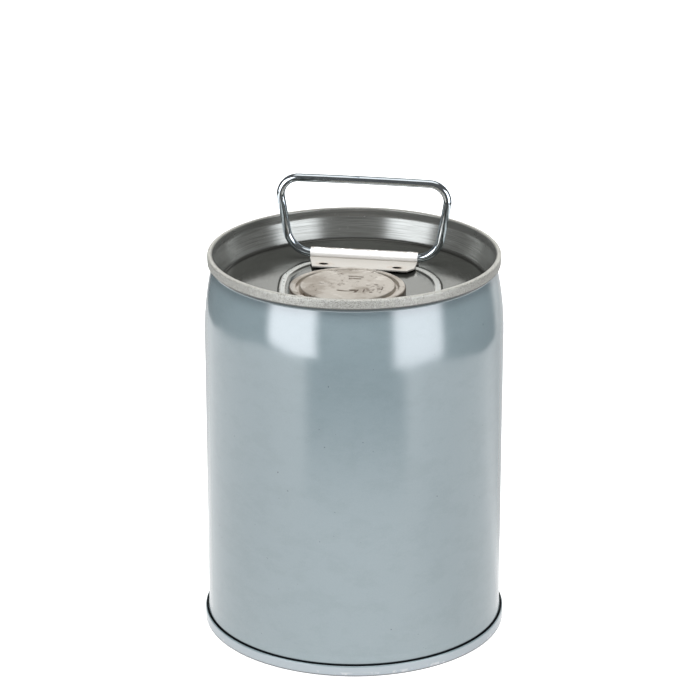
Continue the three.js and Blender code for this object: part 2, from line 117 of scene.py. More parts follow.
def join_rings(rings, closed):
    """Points and faces of a skin over rings of points. A ring of one point is a pole."""
    points, starts = [], []
    for ring in rings:
        starts.append(len(points))
        points.extend(ring)
    faces = []
    spans = len(rings) if closed else len(rings) - 1
    for i in range(spans):
        j = (i + 1) % len(rings)
        here, there = starts[i], starts[j]
        n = max(len(rings[i]), len(rings[j]))
        for k in range(n):
            m = (k + 1) % n
            if len(rings[i]) == 1:
                faces.append((here, there + k, there + m))
            elif len(rings[j]) == 1:
                faces.append((here + k, there, here + m))
            else:
                faces.append((here + k, there + k, there + m, here + m))
    return points, faces


def rounded(outline, closed=True, step=14):
    """Outline of (r, z) or (r, z, corner radius) with its corners turned into arcs."""
    spots = [Vector(p[:2]) for p in outline]
    radii = [p[2] if len(p) > 2 else 0 for p in outline]
    count = len(spots)
    result = []
    for i, spot in enumerate(spots):
        inner = closed or 0 < i < count - 1
        if not inner or radii[i] == 0:
            result.append(tuple(spot))
            continue
        back = spots[i - 1] - spot
        on = spots[(i + 1) % count] - spot
        half = back.angle(on) / 2
        if half > math.radians(89):
            result.append(tuple(spot))
            continue
        reach = min(radii[i] / math.tan(half), 0.48 * back.length, 0.48 * on.length)
        radius = reach * math.tan(half)
        centre = spot + (back.normalized() + on.normalized()).normalized() * (radius / math.sin(half))
        start = spot + back.normalized() * reach - centre
        turn = start.angle_signed(spot + on.normalized() * reach - centre)
        pieces = max(2, math.ceil(abs(math.degrees(turn)) / step))
        for k in range(pieces + 1):
            a = -turn * k / pieces
            sine, cosine = math.sin(a), math.cos(a)
            spun = (start.x * cosine - start.y * sine, start.x * sine + start.y * cosine)
            result.append((centre.x + spun[0], centre.y + spun[1]))
    return result


def divided(outline, longest, closed=True):
    """Outline whose long runs are cut into pieces no longer than longest."""
    result = []
    count = len(outline)
    for i, (r, z) in enumerate(outline):
        result.append((r, z))
        if not closed and i == count - 1:
            break
        r2, z2 = outline[(i + 1) % count]
        pieces = math.ceil(math.hypot(r2 - r, z2 - z) / longest)
        for k in range(1, pieces):
            result.append((r + (r2 - r) * k / pieces, z + (z2 - z) * k / pieces))
    return result


def circle(radius, z, segments, centre=(0, 0, 0), bend=None):
    """Ring of points. bend(angle, radius, z) gives another radius and z."""
    if radius < 1e-6:
        return [(centre[0], centre[1], centre[2] + z)]
    ring = []
    for k in range(segments):
        angle = 2 * math.pi * k / segments
        r, h = bend(angle, radius, z) if bend else (radius, z)
        ring.append((centre[0] + r * math.cos(angle), centre[1] + r * math.sin(angle), centre[2] + h))
    return ring


def lathe(name, outline, segments, centre=(0, 0, 0), bend=None, sharp_angle=38):
    """Solid of revolution. An outline that starts on the axis ends on it; any other closes on itself."""
    on_axis = outline[0][0] < 1e-6
    rings = [circle(r, z, segments, centre, bend) for r, z in outline]
    points, faces = join_rings(rings, not on_axis)
    return mesh_object(name, points, faces, sharp_angle)


def smoothstep(low, high, value):
    """Smooth change from 0 at low to 1 at high. Low may be the larger."""
    t = min(1, max(0, (value - low) / (high - low)))
    return t * t * (3 - 2 * t)


# ---------------- double seams


def seam_layer(seam, layer):
    """Outer and inner radius of a layer of sheet in a seam."""
    outer = seam["radius"] - layer * (SHEET + SEAM_GAP)
    return outer, outer - SHEET


def body_hook(seam):
    """Body sheet turned out and back over itself: (radius, depth below the face, corner radius)."""
    wall_outer, wall_inner = seam_layer(seam, BODY_WALL)
    hook_outer, hook_inner = seam_layer(seam, BODY_HOOK)
    top, end = 1.25, 4.9
    return [
        (wall_outer, top + SHEET, 0.1), (hook_inner, top + SHEET, 0.1), (hook_inner, end),
        (hook_outer, end), (hook_outer, top, 0.4), (wall_inner, top, 0.4),
    ]


def cover_hook(seam):
    """End sheet from inside the arch, round the cover hook and over the chime to the chuck wall."""
    wall_outer, wall_inner = seam_layer(seam, SEAMING_WALL)
    hook_outer, hook_inner = seam_layer(seam, COVER_HOOK)
    chuck_outer, chuck_inner = seam_layer(seam, CHUCK_WALL)
    height, hook_end = seam["height"], 2.1
    return [
        (chuck_outer, SHEET, 0.3), (wall_inner, SHEET, 0.3), (wall_inner, height - SHEET, 0.25),
        (hook_outer, height - SHEET, 0.25), (hook_outer, hook_end), (hook_inner, hook_end),
        (hook_inner, height, 0.35), (wall_outer - 0.18, height, 1.15), (wall_outer, 1.6, 3),
        (wall_outer - 0.1, 0, 1.15), (chuck_inner, 0, 0.85),
    ]


def at_rim(outline):
    """Outline of depths below the rim, turned into heights."""
    return [(p[0], RIM_Z - p[1], *p[2:]) for p in outline]


def at_floor(outline):
    """Outline of heights above the floor, run the other way round."""
    return [(p[0], p[1], *p[2:]) for p in reversed(outline)]


# ---------------- shell


def body_wobble(angle, radius, z):
    """Slight unevenness of the rolled and necked sheet, and the lapped weld at the back."""
    x, y = math.cos(angle), math.sin(angle)
    broad = noise.noise(Vector((1.6 * x, 1.6 * y, z / 95))) * 0.16
    fine = noise.noise(Vector((4.5 * x + 7, 4.5 * y, z / 34))) * 0.05
    uneven = smoothstep(12, 40, z) * (1 - smoothstep(218, 229, z))
    off = (angle - WELD_ANGLE) * BODY_RADIUS
    lap = WELD_LAP * smoothstep(-1.1, -0.7, off) * (1 - smoothstep(1.2, 1.35, off))
    welded = smoothstep(8, 12, z) * (1 - smoothstep(224, 229, z))
    return radius + uneven * (broad + fine) + lap * welded, z


def build_body():
    top_wall, _ = seam_layer(TOP_SEAM, BODY_WALL)
    bottom_wall, _ = seam_layer(BOTTOM_SEAM, BODY_WALL)
    wall = [(bottom_wall, FLARE_LOW, 1.5), (BODY_RADIUS, FLARE_HIGH, 12)]
    steps = 26
    for i in range(steps + 1):
        rise = (NECK_END - NECK_START) * i / steps
        inset = NECK_ARC - math.sqrt(NECK_ARC**2 - rise**2)
        wall.append((BODY_RADIUS - inset, NECK_START + rise, 0))
    wall[-1] = (*wall[-1][:2], 0.8)
    wall.append((top_wall, NECK_TOP, 0.5))
    inside = [(r - SHEET, z, turn) for r, z, turn in reversed(wall)]
    outline = wall + at_rim(body_hook(TOP_SEAM)) + inside + at_floor(body_hook(BOTTOM_SEAM))
    return lathe("can_body", divided(rounded(outline), 6), 384, bend=body_wobble)


def build_base():
    chuck_outer, chuck_inner = seam_layer(BOTTOM_SEAM, CHUCK_WALL)
    low, raised, dip = 5.6, 7.0, 0.8
    under = [
        (0, raised), (42, raised, 3), (44, raised - dip, 2), (46, raised - dip, 2), (48, raised, 3),
        (60, raised, 3), (62, low, 3),
    ]
    over = [(r, z + SHEET, *turn) for r, z, *turn in reversed(under)]
    edge = [(chuck_inner, low, 1.2), *at_floor(cover_hook(BOTTOM_SEAM)), (chuck_outer, low + SHEET, 1.6)]
    outline = rounded(under + edge + over, closed=False)
    return lathe("can_base", divided(outline, 7, closed=False), 320)


# ---------------- lid

# Middle line of the stiffening bead pressed round the closure
BEAD_PATH = [
    (-28, 29.5), (-36, 21), (-41.6, 4), (-41.9, -3), (-38.6, -28), (-30.5, -52), (-2, -66.5),
    (34, -54), (51, -27), (51.6, -6), (45.5, 14), (33, 28), (22, 29.5), (-14, 29.5),
]
BEAD_FOOT, BEAD_TOP, BEAD_HEIGHT = 3.1, 0.9, 1.3


def centripetal(points, per_span):
    """Closed centripetal Catmull-Rom curve through points."""

    def between(a, b, t_a, t_b, at):
        return a * ((t_b - at) / (t_b - t_a)) + b * ((at - t_a) / (t_b - t_a))

    spots = [Vector(p) for p in points]
    count = len(spots)
    curve = []
    for i in range(count):
        p = [spots[(i + k) % count] for k in (-1, 0, 1, 2)]
        t = [0.0]
        for a, b in zip(p, p[1:]):
            t.append(t[-1] + math.sqrt((b - a).length))
        for k in range(per_span):
            u = t[1] + (t[2] - t[1]) * k / per_span
            a = [between(p[j], p[j + 1], t[j], t[j + 1], u) for j in range(3)]
            b = [between(a[j], a[j + 1], t[j], t[j + 2], u) for j in range(2)]
            curve.append(between(b[0], b[1], t[1], t[2], u))
    return np.array([tuple(c) for c in curve])


def panel_height(xy):
    """Height of the lid's panel above its plane: the bead, and a slight unevenness of the sheet."""
    path = centripetal(BEAD_PATH, 40)
    heights = np.empty(len(xy))
    for i, spot in enumerate(xy):
        away = math.sqrt(((path - spot) ** 2).sum(1).min())
        bead = BEAD_HEIGHT * smoothstep(BEAD_FOOT, BEAD_TOP, away)
        edge = smoothstep(78, 70, math.hypot(*spot)) * smoothstep(34, 40, math.dist(spot, CLOSURE[:2]))
        wave = noise.noise(Vector((spot[0] / 26, spot[1] / 26, 3.3))) * 0.07
        heights[i] = bead + wave * edge
    return heights


def panel_rings(drop, steps, inner, outer, segments):
    """Rings that run from round the closure to the edge of the lid, following the bead."""
    grid = []
    for k in range(steps + 1):
        share = k / steps
        centre = (CLOSURE[0] * (1 - share), CLOSURE[1] * (1 - share), 0)
        grid.append(circle(inner + (outer - inner) * share, 0, segments, centre))
    flat = np.array([p[:2] for ring in grid for p in ring])
    heights = panel_height(flat).reshape(len(grid), segments)
    return [
        [(x, y, LID_Z + h - drop) for (x, y, _), h in zip(ring, row)]
        for ring, row in zip(grid, heights)
    ]


def build_lid():
    segments, fillet_steps = 360, 6
    neck, neck_top, fillet = 32.45, 3.1, 0.9
    chuck_outer, chuck_inner = seam_layer(TOP_SEAM, CHUCK_WALL)
    bend = RIM_Z - 5.5

    def neck_ring(radius, height):
        return circle(radius, height, segments, CLOSURE)

    rings = [neck_ring(neck, -SHEET), neck_ring(neck, neck_top), neck_ring(neck + SHEET, neck_top)]
    for k in range(fillet_steps):
        a = math.radians(90 * k / fillet_steps)
        reach = neck + SHEET + fillet * (1 - math.cos(a))
        rings.append(neck_ring(reach, fillet * (1 - math.sin(a))))
    rings += panel_rings(0, 84, neck + SHEET + fillet, PANEL_RADIUS, segments)
    wall = [(PANEL_RADIUS, LID_Z), (79.6, LID_Z, 1.6), (80.2, LID_Z + 1.2, 1), (chuck_inner, bend, 6)]
    hook = list(reversed(at_rim(cover_hook(TOP_SEAM))))
    back = [(chuck_outer, bend, 6), (80.75, LID_Z + 1, 1), (79.9, LID_Z - SHEET, 1.6)]
    back.append((PANEL_RADIUS, LID_Z - SHEET))
    profile = divided(rounded(wall + hook + back, closed=False), 3, closed=False)
    rings += [circle(r, z, segments) for r, z in profile[1:-1]]
    rings += reversed(panel_rings(SHEET, 40, neck + SHEET, PANEL_RADIUS, segments))
    points, faces = join_rings(rings, True)
    return mesh_object("can_lid", points, faces)


# ---------------- closure

THREAD_PITCH, THREAD_DEPTH, THREAD_START = 2.309, 1.2, -8
BUNG_SEGMENTS = 216


def thread_rise(angle, z, start, turns):
    """How far a helical ridge stands out of its wall at an angle and height."""
    turn = angle / (2 * math.pi)
    best = 0.0
    for whole in range(-1, math.ceil(turns) + 1):
        along = whole + turn
        if not 0 <= along <= turns:
            continue
        fade = smoothstep(0, 0.25, along) * smoothstep(turns, turns - 0.25, along)
        off = abs(z - start - THREAD_PITCH * along)
        best = max(best, fade * (1 - smoothstep(0.25, 0.68, off)))
    return THREAD_DEPTH * best


def build_plug():
    wall, bottom, head, head_low, head_top = 28.3, -9.0, 31.3, 1.55, 3.0
    recess, floor, lug_top = 25.8, -7.4, -1.0

    def bend(angle, radius, z):
        if abs(radius - wall) < 0.02 and bottom + 0.4 < z < head_low - 0.2:
            return wall + thread_rise(angle, z, THREAD_START, 3), z
        if radius < recess - 0.2 and z < floor + 0.05:
            x, y = radius * math.cos(angle), radius * math.sin(angle)
            lug = smoothstep(20.0, 21.4, abs(x)) * smoothstep(4.6, 3.4, abs(y))
            return radius, floor + (lug_top - floor) * lug
        return radius, z

    outline = [
        (0, bottom), (wall, bottom, 1.0), (wall, head_low, 0.3), (head, head_low, 0.4),
        (head, head_top, 0.7), (recess, head_top, 0.7), (recess, floor, 0.12), (0, floor),
    ]
    outside = rounded(outline, closed=False)
    fine = []
    for (r, z), (r2, z2) in zip(outside, outside[1:]):
        on_thread = abs(r - wall) < 0.01 and abs(r2 - wall) < 0.01
        on_floor = abs(z - floor) < 0.01 and abs(z2 - floor) < 0.01
        longest = 0.16 if on_thread else 0.45 if on_floor else 3
        fine += divided([(r, z), (r2, z2)], longest, closed=False)[:-1]
    fine.append(outside[-1])
    return lathe("bung_plug", fine, BUNG_SEGMENTS, CLOSURE, bend)


def build_flange():
    wall, outer, bottom, lip, lip_low, lip_top = 30.1, 32.2, -9.5, 33.9, 3.4, 4.7
    mouth, seat, base, base_top, base_low = 31.6, 0.2, 42.0, -1.45, -3.95

    def bend(angle, radius, z):
        if radius > 34 and z < 0:
            slice_angle = math.pi / 4
            off = (angle % slice_angle) - slice_angle / 2
            edge = math.cos(slice_angle / 2) / math.cos(off)
            share = (radius - outer) / (base - outer)
            return min(outer + (base * min(edge, 0.975) - outer) * share, radius), z
        if abs(radius - wall) < 0.02 and bottom + 0.3 < z < seat - 0.3:
            return wall - thread_rise(angle, z, THREAD_START + THREAD_PITCH / 2, 2.5), z
        return radius, z

    profile = rounded(
        [(wall, bottom, 0.3), (outer, bottom, 0.5), (outer, base_low, 0.3), (base, base_low, 0.5),
         (base, base_top, 0.5), (outer, base_top, 0.3), (outer, lip_low, 0.3), (lip, lip_low, 0.5),
         (lip, lip_top, 0.6), (mouth, lip_top, 0.6), (mouth, seat, 0.3), (wall, seat, 0.3)],
    )
    fine = []
    for i, (r, z) in enumerate(profile):
        r2, z2 = profile[(i + 1) % len(profile)]
        on_thread = abs(r - wall) < 0.01 and abs(r2 - wall) < 0.01
        fine += divided([(r, z), (r2, z2)], 0.2 if on_thread else 2.5, closed=False)[:-1]
    return lathe("bung_flange_ring", fine, BUNG_SEGMENTS, CLOSURE, bend)


def near_segment(x, y, a, b):
    """Distance from a point to the line from a to b."""
    ab = (b[0] - a[0], b[1] - a[1])
    t = ((x - a[0]) * ab[0] + (y - a[1]) * ab[1]) / (ab[0] ** 2 + ab[1] ** 2)
    t = min(1, max(0, t))
    return math.hypot(x - a[0] - t * ab[0], y - a[1] - t * ab[1])


# Generic marks pressed into the cap seal's disc: dashes, an arrow for the way it unscrews, and the broken
# outline of a panel
DASHES = [((-1.2, 15.6), (2.2, 15.9)), ((3.6, 15.7), (6.4, 15.3)), ((-0.4, 12.0), (5.6, 11.8))]
ARROW_RADIUS, ARROW_FROM, ARROW_TO = 11.0, math.radians(-112), math.radians(-48)
ARROW_HEAD = 4.2
PANEL_X, PANEL_Y, PANEL_HALF_X, PANEL_HALF_Y = 16.2, -4.0, 5.0, 7.0


def arrow_lines():
    """Segments of the arrow: its curved shaft, then both sides of its head."""
    points = []
    for k in range(9):
        a = ARROW_FROM + (ARROW_TO - ARROW_FROM) * k / 8
        points.append((ARROW_RADIUS * math.cos(a), ARROW_RADIUS * math.sin(a)))
    tip, heading = points[-1], ARROW_TO + math.pi / 2
    lines = list(zip(points, points[1:]))
    for side in (-1, 1):
        a = heading + math.pi + side * math.radians(36)
        lines.append((tip, (tip[0] + ARROW_HEAD * math.cos(a), tip[1] + ARROW_HEAD * math.sin(a))))
    return lines


PRESSED = DASHES + arrow_lines()


def disc_relief(x, y):
    """Height of the cap disc: slightly domed and uneven, with the pressed marks."""
    radius = math.hypot(x, y)
    dome = 0.12 * (1 - (radius / 28) ** 2)
    dent = noise.noise(Vector((x / 9, y / 9, 1.7))) * 0.06
    line = min(near_segment(x, y, a, b) for a, b in PRESSED)
    mark = -0.32 * smoothstep(0.95, 0.6, line)
    panel = max(abs(x - PANEL_X) / PANEL_HALF_X, abs(y - PANEL_Y) / PANEL_HALF_Y)
    broken = smoothstep(-0.2, 0.3, noise.noise(Vector((x / 3, y / 3, 7))))
    border = -0.18 * smoothstep(0.16, 0.05, abs(panel - 1)) * broken
    return (dome + dent) * smoothstep(27.5, 24, radius) + mark + border


def build_cap():
    skirt, low, ring_top, ring_inner = CAP_HIGH.x - CLOSURE[0], 0.8, 5.4, 30.8
    groove_outer, groove_inner, groove = 30.2, 28.7, 3.7
    disc, disc_top, sheet = 27.7, CAP_HIGH.z - LID_Z - 0.14, 0.4
    outline = [
        (0, disc_top - sheet), (disc - 0.2, disc_top - sheet, 0.3),
        (groove_inner - sheet, groove - sheet, 0.5), (groove_outer + sheet, groove - sheet, 0.5),
        (ring_inner + sheet, ring_top - sheet, 0.3), (skirt - sheet, ring_top - sheet, 0.8),
        (skirt - sheet, low + 0.3, 0.2), (skirt - sheet, low, 0.15), (skirt, low, 0.15),
        (skirt, ring_top, 1.2), (ring_inner, ring_top, 0.5), (groove_outer, groove, 0.5),
        (groove_inner, groove, 0.5), (disc + 0.3, disc_top, 0.7), (0, disc_top),
    ]
    profile = rounded(outline, closed=False, step=11)
    fine = []
    for (r, z), (r2, z2) in zip(profile, profile[1:]):
        on_disc = z > disc_top - 0.01 and z2 > disc_top - 0.01
        fine += divided([(r, z), (r2, z2)], 0.3 if on_disc else 2, closed=False)[:-1]
    fine.append(profile[-1])

    def bend(angle, radius, z):
        if z > disc_top - 0.005 and radius < disc - 0.2:
            return radius, z + disc_relief(radius * math.cos(angle), radius * math.sin(angle))
        ripple = noise.noise(Vector((5 * math.cos(angle), 5 * math.sin(angle), z / 5))) * 0.1
        return radius + ripple * smoothstep(33.8, 34.4, radius) * smoothstep(4.6, 3.6, z) - 0.06, z

    return lathe("closure_cap", fine, 288, CLOSURE, bend)


def build_ring(name, node, corner):
    """Gasket with rounded corners in the box of its CAD node."""
    low, high = corners(node)
    inner = {"flange_gasket": 33.6, "plug_gasket": 28.6}[node]
    outer = (high.x - low.x) / 2
    top, bottom = high.z - LID_Z, low.z - LID_Z
    square = [(inner, bottom), (outer, bottom), (outer, top), (inner, top)]
    return lathe(name, rounded([(r, z, corner) for r, z in square]), 128, CLOSURE)


# ---------------- handle

BARREL = 3.2  # middle radius of the strap's sheet where it is rolled round the wire
DIMPLE_X, DIMPLE_FROM_FRONT, DIMPLE_BEFORE_HINGE, DIMPLE_DEPTH = 22.5, 4.8, 15.6, 1.25
FLANGE_SPAN = 18  # length of path that is surely on the flange
TAPER_START, TRIM_START, FLANGE_END = 4.4, 14.2, 20.4
TAPER_LEFT, TRIM_RIGHT = 4.2, 3.4


def strap_path():
    """Middle line of the strap's section about the hinge, as (y, z), from the front of its flange,
    over the barrel that holds the wire, to the end tucked under it."""
    flange_z, front, tuck = -1.85, HINGE.y - STRAP_LOW.y, 2.5
    start = math.pi + math.asin(-flange_z / BARREL)
    turn = start + math.pi / 2
    flat_steps, roll_steps = 56, 48
    path = [(-front + (front - BARREL) * k / flat_steps, flange_z) for k in range(flat_steps + 1)]
    for k in range(3, roll_steps + 1):
        a = start - turn * k / roll_steps
        path.append((BARREL * math.cos(a), BARREL * math.sin(a)))
    path.append((-tuck / 2, -BARREL))
    path.append((-tuck, -BARREL))
    return path


def strap_relief(x, along):
    """Push of the strap's sheet out of its surface: the two weld dimples and slight hammering."""
    push = noise.noise(Vector((x / 7, along / 7, 5.1))) * 0.06
    for side in (-1, 1):
        away = math.hypot(x - side * DIMPLE_X, along - DIMPLE_FROM_FRONT)
        push -= DIMPLE_DEPTH * smoothstep(1.8, 1.0, away)
    return push


def build_strap():
    half, thickness = (STRAP_HIGH.x - STRAP_LOW.x) / 2, 0.9
    path = strap_path()
    lengths = [0.0]
    for a, b in zip(path, path[1:]):
        lengths.append(lengths[-1] + math.dist(a, b))
    columns = 220
    upper, lower = [], []
    for i, (y, z) in enumerate(path):
        before, after = path[max(0, i - 1)], path[min(len(path) - 1, i + 1)]
        ty, tz = after[0] - before[0], after[1] - before[1]
        length = math.hypot(ty, tz)
        normal = (-tz / length, ty / length)
        left, right = -half, half
        if lengths[i] < FLANGE_SPAN:
            left += TAPER_LEFT * min(1, max(0, -y - TAPER_START) / (FLANGE_END - TAPER_START))
            right -= TRIM_RIGHT * smoothstep(TRIM_START, FLANGE_END, -y)
        top_row, low_row = [], []
        for c in range(columns + 1):
            x = left + (right - left) * c / columns
            push = strap_relief(x, lengths[i])
            for row, offset in ((top_row, thickness / 2), (low_row, -thickness / 2)):
                reach = offset + push
                row.append((x, HINGE.y + y + normal[0] * reach, HINGE.z + z + normal[1] * reach))
        upper.append(top_row)
        lower.append(low_row)
    rings = [top + list(reversed(low)) for top, low in zip(upper, lower)]
    points, faces = join_rings(rings, False)
    count = columns + 1
    last = (len(rings) - 1) * 2 * count
    for c in range(columns):
        faces.append((c, c + 1, 2 * count - 2 - c, 2 * count - 1 - c))
        faces.append((last + c, last + 2 * count - 1 - c, last + 2 * count - 2 - c, last + c + 1))
    piece = mesh_object("strap", points, faces, 50)
    bevel = piece.modifiers.new("edges", "BEVEL")
    bevel.width = 0.16 * MM
    bevel.segments = 3
    bevel.limit_method = "ANGLE"
    bevel.angle_limit = math.radians(50)
    return piece


def corner_points(before, corner, after, radius, step):
    """Arc that rounds a corner of the bail's path."""
    back, on = (before - corner).normalized(), (after - corner).normalized()
    half = back.angle(on) / 2
    centre = corner + (back + on).normalized() * (radius / math.sin(half))
    start = (corner + back * (radius / math.tan(half)) - centre).normalized()
    end = (corner + on * (radius / math.tan(half)) - centre).normalized()
    pieces = math.ceil(radius * start.angle(end) / step)
    return [centre + start.slerp(end, k / pieces) * radius for k in range(pieces + 1)]


def bail_path(wire):
    """Middle line of the bail in the XZ plane: a rounded trapezoid, butted inside the strap."""
    height = WIRE_HIGH.z - wire - HINGE.z
    middle = (WIRE_LOW.x + WIRE_HIGH.x) / 2
    top, base = (WIRE_HIGH.x - WIRE_LOW.x) / 2 - wire + 0.4, 45.2
    spots = [(0.3, 0), (base, 0), (top, height), (-top, height), (-base, 0), (-0.3, 0)]
    spots = [Vector((middle + x, 0, z)) for x, z in spots]
    path = [spots[0]]
    for i, radius in ((1, 16), (2, 11), (3, 11), (4, 16)):
        path += corner_points(spots[i - 1], spots[i], spots[i + 1], radius, 1.1)
    path.append(spots[5])
    fine = [path[0]]
    for a, b in zip(path, path[1:]):
        pieces = max(1, math.ceil((b - a).length / 2.2))
        fine += [a.lerp(b, k / pieces) for k in range(1, pieces + 1)]
    for spot in fine:
        high = smoothstep(0.55, 1, spot.z / height)
        spot.z -= 0.5 * high * min(1, abs(spot.x - middle) / top) ** 2
    return fine


def build_bail():
    wire = (WIRE_HIGH.y - WIRE_LOW.y) / 2
    path = bail_path(wire)
    sides = 32
    rings = []
    for i, spot in enumerate(path):
        ahead = path[min(i + 1, len(path) - 1)] - path[max(i - 1, 0)]
        across = Vector((0, 1, 0))
        outward = ahead.cross(across).normalized()
        flat = 0.03 * noise.noise(spot / 14)
        ends = min(i, len(path) - 1 - i)
        size = wire * (0.9, 1.0)[min(ends, 1)]
        ring = []
        for k in range(sides):
            a = 2 * math.pi * k / sides
            reach = size * (1 - 0.5 * abs(flat) * (1 + math.cos(2 * a)))
            point = HINGE + spot + across * (reach * math.cos(a)) + outward * (reach * math.sin(a))
            point.x -= HINGE.x
            ring.append(tuple(point))
        rings.append(ring)
    first = [tuple(HINGE + path[0] + Vector((-0.25, 0, 0)))]
    last = [tuple(HINGE + path[-1] + Vector((0.25, 0, 0)))]
    points, faces = join_rings([first] + rings + [last], False)
    return mesh_object("bail_wire", points, faces, 45)


# ---------------- materials


class Finish:
    """A material being made: its principled shader and the nodes that feed it."""

    def __init__(self, name, **settings):
        self.material = bpy.data.materials.new(name)
        self.material.use_nodes = True
        self.tree = self.material.node_tree
        self.shader = self.tree.nodes["Principled BSDF"]
        for socket, value in settings.items():
            self.shader.inputs[socket.replace("_", " ")].default_value = value
        self.place = self.add("ShaderNodeTexCoord").outputs["Object"]

    def add(self, kind, inputs=(), **settings):
        node = self.tree.nodes.new(kind)
        for key, value in settings.items():
            setattr(node, key, value)
        for key, value in dict(inputs).items():
            if isinstance(value, bpy.types.NodeSocket):
                self.tree.links.new(value, node.inputs[key])
            else:
                node.inputs[key].default_value = value
        return node

    def math(self, operation, a, b=0.0, c=0.0):
        return self.add("ShaderNodeMath", {0: a, 1: b, 2: c}, operation=operation).outputs[0]

    def times(self, first, *others):
        for other in others:
            first = self.math("MULTIPLY", first, other)
        return first

    def total(self, start, *parts):
        """Start plus each part's value times its weight."""
        for value, weight in parts:
            start = self.math("MULTIPLY_ADD", value, weight, start)
        return start

    def stretched(self, x, y, z):
        scales = {0: self.place, 1: (x, y, z)}
        return self.add("ShaderNodeVectorMath", scales, operation="MULTIPLY").outputs[0]

    def noise(self, scale, detail=3.0, roughness=0.55, place=None):
        settings = {"Scale": scale, "Detail": detail, "Roughness": roughness}
        return self.add("ShaderNodeTexNoise", {"Vector": place or self.place, **settings}).outputs["Fac"]

    def spread(self, value, low, high, to_low=0.0, to_high=1.0):
        """Maps low..high of a value to to_low..to_high, smoothly and clamped."""
        limits = {"Value": value, "From Min": low, "From Max": high, "To Min": to_low, "To Max": to_high}
        return self.add("ShaderNodeMapRange", limits, interpolation_type="SMOOTHSTEP").outputs["Result"]

    def band(self, length, low, high):
        """Mask of a length in metres: 0 at low and 1 at high, which are in millimetres."""
        return self.spread(length, low * MM, high * MM)

    def off(self, length, middle):
        """How far a length in metres is from one in millimetres."""
        return self.math("ABSOLUTE", self.math("SUBTRACT", length, middle * MM))

    def mix(self, share, a, b):
        node = self.add("ShaderNodeMix", data_type="RGBA")
        for key, value in ((0, share), (6, a), (7, b)):
            if isinstance(value, bpy.types.NodeSocket):
                self.tree.links.new(value, node.inputs[key])
            else:
                node.inputs[key].default_value = (*value, 1) if key else value
        return node.outputs[2]

    def over(self, base, *layers):
        """Lays colours over a base, each by its mask and strength."""
        for mask, strength, colour in layers:
            base = self.mix(self.times(mask, strength), base, colour)
        return base

    def round_the_axis(self, around, along, centre=(0.0, 0.0)):
        """Coordinates round an upright axis, without a break: (x, y) / r * around, (r + z) * along. Also
        the distance from the axis and the height, in metres."""
        shift = (-centre[0] * MM, -centre[1] * MM, 0)
        moved = self.add("ShaderNodeVectorMath", {0: self.place, 1: shift}, operation="ADD").outputs[0]
        parts = self.add("ShaderNodeSeparateXYZ", {0: moved})
        flat = self.add("ShaderNodeCombineXYZ", {0: parts.outputs[0], 1: parts.outputs[1]}).outputs[0]
        unit = self.add("ShaderNodeVectorMath", {0: flat}, operation="NORMALIZE").outputs[0]
        radius = self.add("ShaderNodeVectorMath", {0: flat}, operation="LENGTH").outputs["Value"]
        ends = self.add("ShaderNodeSeparateXYZ", {0: unit})
        height = self.math("MULTIPLY", self.math("ADD", radius, parts.outputs[2]), along)
        turned = {axis: self.times(ends.outputs[axis], around) for axis in (0, 1)}
        return self.add("ShaderNodeCombineXYZ", {**turned, 2: height}).outputs[0], radius, parts.outputs[2]

    def bump(self, *layers):
        """Adds up layers of (value, height in microns) as bump."""
        height = self.total(0.0, *((value, rise * MICRON) for value, rise in layers))
        node = self.add("ShaderNodeBump", {"Height": height, "Distance": 1.0, "Strength": 1.0})
        self.tree.links.new(node.outputs["Normal"], self.shader.inputs["Normal"])

    def feed(self, socket, value):
        self.tree.links.new(value, self.shader.inputs[socket])


# Masks by height and distance from the axis are in millimetres.


def body_paint():
    f = Finish("grey_blue_enamel", Metallic=0.0, IOR=1.95)
    _, radius, height = f.round_the_axis(1, 1)
    speck = f.spread(f.noise(470, 1), 0.800, 0.812)
    cloudy = f.spread(f.noise(44, 6, 0.68, f.stretched(1, 1, 1.7)), 0.44, 0.64)
    face = f.band(height, 6.3, 5.7)
    # Pale patches low on the bottom chime: partly wear, partly a painted reflection of the lit table
    wear_and_painted_glint = f.times(f.band(height, 3.4, 1.8), f.spread(f.noise(150, 4, 0.6), 0.56, 0.64))
    # Painted contact shade: a dark line along the very bottom of the chime
    painted_contact_shade = f.band(height, 1.3, 0.6)
    # Painted shade in the crevice between the body's flare and the bottom chime
    groove = f.times(f.band(height, 6.0, 6.5), f.band(height, 7.9, 7.2), f.band(radius, 92.0, 91.5))
    # Painted shade: a dark band on the body just under the top chime
    shade_under_chime = f.band(height, RIM_Z - 8.4, RIM_Z - 7.2)
    base = f.over(
        f.mix(f.noise(9, 4), (0.158, 0.205, 0.220), (0.176, 0.224, 0.240)),
        (f.noise(120, 3), 0.16, (0.21, 0.25, 0.26)),
        (cloudy, 0.20, (0.120, 0.162, 0.172)),
        (f.spread(f.noise(1400, 2, 0.6), 0.3, 0.7), 0.10, (0.24, 0.28, 0.29)),
        (face, 0.45, (0.36, 0.39, 0.42)),
        (speck, 0.8, (0.05, 0.06, 0.065)),
        (shade_under_chime, 0.85, (0.035, 0.042, 0.046)),
        (groove, 0.95, (0.006, 0.008, 0.010)),
        (wear_and_painted_glint, 0.6, (0.46, 0.47, 0.48)),
        (painted_contact_shade, 0.75, (0.035, 0.034, 0.032)),
    )
    f.feed("Base Color", base)
    # The painted shades in the crevice above the bottom chime and under the top chime are made a dark
    # metal, which mirrors almost nothing and so keeps both dark
    f.feed("Metallic", f.math("MAXIMUM", groove, f.times(shade_under_chime, 0.85)))
    smear = f.spread(f.noise(26, 5, 0.62, f.stretched(1, 1, 0.35)), 0.40, 0.72, 0.11, 0.17)
    f.feed("Roughness", f.total(smear, (painted_contact_shade, 0.6), (groove, 0.6)))
    f.bump((f.noise(420, 2), 6), (f.noise(95, 2), 14), (speck, -10))
    return f.material


